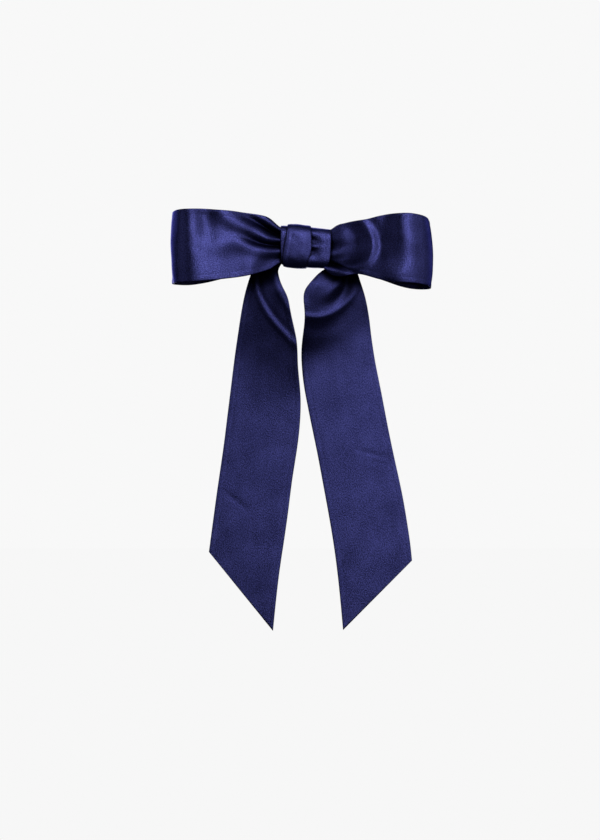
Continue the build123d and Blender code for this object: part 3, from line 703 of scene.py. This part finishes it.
# ------------------------------------------------------------------ knot band
def build_knot():
    # the strip is wound twice round the middle; angle 0 is the front, it goes up and over
    yc, zc, ay, az, e = -12.7, -0.2, 7.35, 10.45, 4.9
    th = np.linspace(-math.pi, math.pi, 2881)
    cs, sn = np.cos(th), np.sin(th)
    py = yc - ay * np.sign(cs) * np.abs(cs) ** (2 / e)
    pz = zc + az * np.sign(sn) * np.abs(sn) ** (2 / e)
    s = chord(np.stack([py, pz], 1))
    per = s[-1]
    # start at the back, two turns and a little more
    total = 2 * per + 6.0
    n = int(total / 0.4)
    a = np.linspace(0, total, n)
    painted_shade_range = np.mod(a, per)
    cy, cz = np.interp(painted_shade_range, s, py), np.interp(painted_shade_range, s, pz)
    ny = np.interp(painted_shade_range, s, np.gradient(pz, s)); nz = -np.interp(painted_shade_range, s, np.gradient(py, s))
    ln = np.hypot(ny, nz)
    ny, nz = ny / ln, nz / ln
    # normals must look outwards
    sg = np.sign((cy - yc) * ny + (cz - zc) * nz)
    ny, nz = ny * sg, nz * sg
    lift = 1.12 * smoothstep(a, per - 7.0, per - 0.5)
    # edges against distance along the strip; the front is at per / 2 and 1.5 per
    f1, f2 = per / 2, 1.5 * per
    q = per / 4
    xl = Cubic([0, f1 - q, f1 - 6, f1, f1 + 7, f1 + q, per, f2 - q, f2 - 8, f2, f2 + 8, f2 + q, total],
               [-11.5, -12.6, -13.3, -13.5, -13.5, -13.2, -11.0, -11.6, -12.3, -11.4, -10.0, -9.4, -9.0])
    xr = Cubic([0, f1 - q, f1 - 8, f1, f1 + 8, f1 + q, per, f2 - q, f2 - 9, f2 - 3, f2 + 3, f2 + 8, f2 + q, total],
               [11.5, 8.6, 11.9, 13.1, 13.4, 13.3, 5.0, -1.0, -0.2, 2.0, 2.5, 2.4, 2.2, 2.2])
    nv = 57
    v = np.linspace(0, 1, nv)[None, :]
    XL, XR = xl(a)[:, None], xr(a)[:, None]
    X = XL * (1 - v) + XR * v
    A = np.repeat(a[:, None], nv, 1)
    D = np.zeros_like(X) + lift[:, None]
    # crown across the strip, pulled tight at its edges
    D += 0.35 * (1 - (2 * v - 1) ** 2) - 0.15
    # two dimples beside the outer turn, with a ridge between them
    D += bump_at(X, A, 4.0, f1 + 4.0, -1.25, 2.9, 1.9, -12)
    D += bump_at(X, A, 3.4, f1 - 2.2, -1.15, 2.6, 1.8, 12)
    D += bump_at(X, A, 5.0, f1 + 1.0, 0.40, 2.8, 0.8)
    D += bump_at(X, A, 10.0, f1 + 1.0, 0.25, 2.2, 7.0)
    for f, low in ((f1, 0.15), (f2, 0.35)):
        D -= low * smoothstep(f - A, 4.0, 10.5) * smoothstep(A, f - 22, f - 15)
    # outer turn
    D += bump_at(X, A, -5.0, f2 - 1.0, 0.25, 4.5, 7.0)
    D += ripple(X, A, 3, [(11, 0.08), (6, 0.04)])
    P = np.stack([X, cy[:, None] + ny[:, None] * D, cz[:, None] + nz[:, None] * D - 0.085 * X], 2)
    P = to_depth(P)
    ob = sheet_mesh("knot_band_satin", P, thick=1.0, across=26.0, bead=0.10)
    return ob, total


loops, loop_len = build_loops()
ltail, lt_len = build_tail("left_tail_satin", LT, LEFT_FOLDS, [], 11)
rtail, rt_len = build_tail("right_tail_satin", RT, RIGHT_FOLDS, [], 12)
knot, knot_len = build_knot()

for ob, nodes_, flat, area, held, rests in (
    (loops, ("loop_ribbon",), (0.040, loop_len / 1000), None, "gathered", ["knot_band_satin"]),
    (ltail, ("left_tail", "left_tail_pleats"), (0.040, lt_len / 1000 + 0.02), None, "hung", ["knot_band_satin"]),
    (rtail, ("right_tail", "right_tail_pleats"), (0.040, rt_len / 1000 + 0.02), None, "hung", ["knot_band_satin"]),
    (knot, ("knot_band",), (0.026, knot_len / 1000), None, "folded", ["barrette_plate"]),
):
    # tails get the satin copy with stronger painted shade
    put(ob, SATIN_TAILS_MORE_PAINTED_SHADE if held == "hung" else SATIN)
    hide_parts(*nodes_)

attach(loops, "bow")
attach(knot, "bow")
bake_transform(ltail)
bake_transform(rtail)

for name, mat in (("barrette_plate", NICKEL), ("clasp_arm", NICKEL), ("catch_base", NICKEL), ("catch_wing_upper", NICKEL),
                  ("catch_wing_lower", NICKEL), ("tension_strip", SPRING), ("hinge_pin", PIN), ("rivets", PIN),
                  ("gathering_thread", THREAD), ("knot_stitches", THREAD)):
    o = cad_object(name)
    put(o, mat)

# ------------------------------------------------------------------ stage, light, camera
def plane(name, size, z):
    me = bpy.data.meshes.new(name)
    h = size / 2
    me.from_pydata([(-h, -h, z), (h, -h, z), (h, h, z), (-h, h, z)], [], [(0, 1, 2, 3)])
    ob = bpy.data.objects.new(name, me)
    bpy.context.scene.collection.objects.link(ob)
    m, nt, b = new_mat(name + "_pale")
    b.inputs["Base Color"].default_value = (0.0, 0.0, 0.0, 1)
    b.inputs["Specular IOR Level"].default_value = 0.0
    b.inputs["Roughness"].default_value = 0.9
    b.inputs["Emission Color"].default_value = (1, 1, 1, 1)
    b.inputs["Emission Strength"].default_value = 0.93
    put(ob, m)
    ob.visible_diffuse = False
    ob.visible_glossy = False
    return ob


floor = plane("studio_floor", 6.0, -0.36)

sc = bpy.context.scene
sc.view_settings.view_transform = "Standard"
w = bpy.data.worlds.new("studio")
sc.world = w
w.use_nodes = True
nt = w.node_tree
nt.nodes.clear()
out = nt.nodes.new("ShaderNodeOutputWorld")
seen = nt.nodes.new("ShaderNodeBackground")
seen.inputs[0].default_value = (0.939, 0.939, 0.939, 1)
seen.inputs[1].default_value = 1.0
lit = nt.nodes.new("ShaderNodeBackground")
lit.inputs[0].default_value = (0.95, 0.97, 1.0, 1)
lit.inputs[1].default_value = 0.03
lp = nt.nodes.new("ShaderNodeLightPath")
mx = nt.nodes.new("ShaderNodeMixShader")
nt.links.new(lp.outputs["Is Camera Ray"], mx.inputs[0])
nt.links.new(lit.outputs[0], mx.inputs[1])
nt.links.new(seen.outputs[0], mx.inputs[2])
nt.links.new(mx.outputs[0], out.inputs[0])


def area_light(name, pos, aim, size, power, colour=(1, 1, 1)):
    d = bpy.data.lights.new(name, "AREA")
    d.shape = "RECTANGLE"
    d.size, d.size_y = size
    d.energy = power
    d.color = colour
    o = bpy.data.objects.new(name, d)
    o.visible_camera = False
    o.location = pos
    o.rotation_euler = (Vector(aim) - Vector(pos)).to_track_quat("-Z", "Y").to_euler()
    sc.collection.objects.link(o)
    return o


area_light("front_wall", (0.35, -1.33, 0.225), (0.35, 0, 0.225), (1.20, 1.05), 5.4)
area_light("top_wall", (0.35, -1.04, 1.00), (0.05, 0, -0.05), (1.20, 0.77), 3.6)
area_light("key", (0.24, -1.15, 0.55), (0, 0, -0.06), (0.26, 0.20), 2.3)
area_light("side_right", (1.15, -0.55, 0.20), (0, 0, -0.02), (1.5, 0.7), 2.8)
area_light("side_left", (-1.10, -0.60, 0.20), (0, 0, -0.02), (1.3, 0.7), 1.0)
area_light("rim_right", (1.00, 0.70, 0.20), (0, 0, 0), (0.8, 0.6), 0.9)
area_light("rim_left", (-1.00, 0.70, 0.20), (0, 0, 0), (0.8, 0.6), 0.9)
area_light("ceiling", (0.10, -0.25, 1.35), (0, 0, 0), (0.9, 0.5), 0.6)
area_light("back_wall", (-0.30, 1.35, 0.25), (-0.05, 0, 0), (1.3, 1.0), 6.0)
area_light("back_top", (0.10, 0.95, 1.00), (0, 0, -0.05), (1.0, 0.6), 1.2)

cam = bpy.data.cameras.new("cam")
cam.lens = 85
cam.sensor_width = 36
cam.clip_end = 20
co = bpy.data.objects.new("cam", cam)
co.location = (XC / 1000, (Y0 - DIST) / 1000, ZC / 1000)
co.rotation_euler = (math.radians(90), 0, 0)
sc.collection.objects.link(co)
sc.camera = co
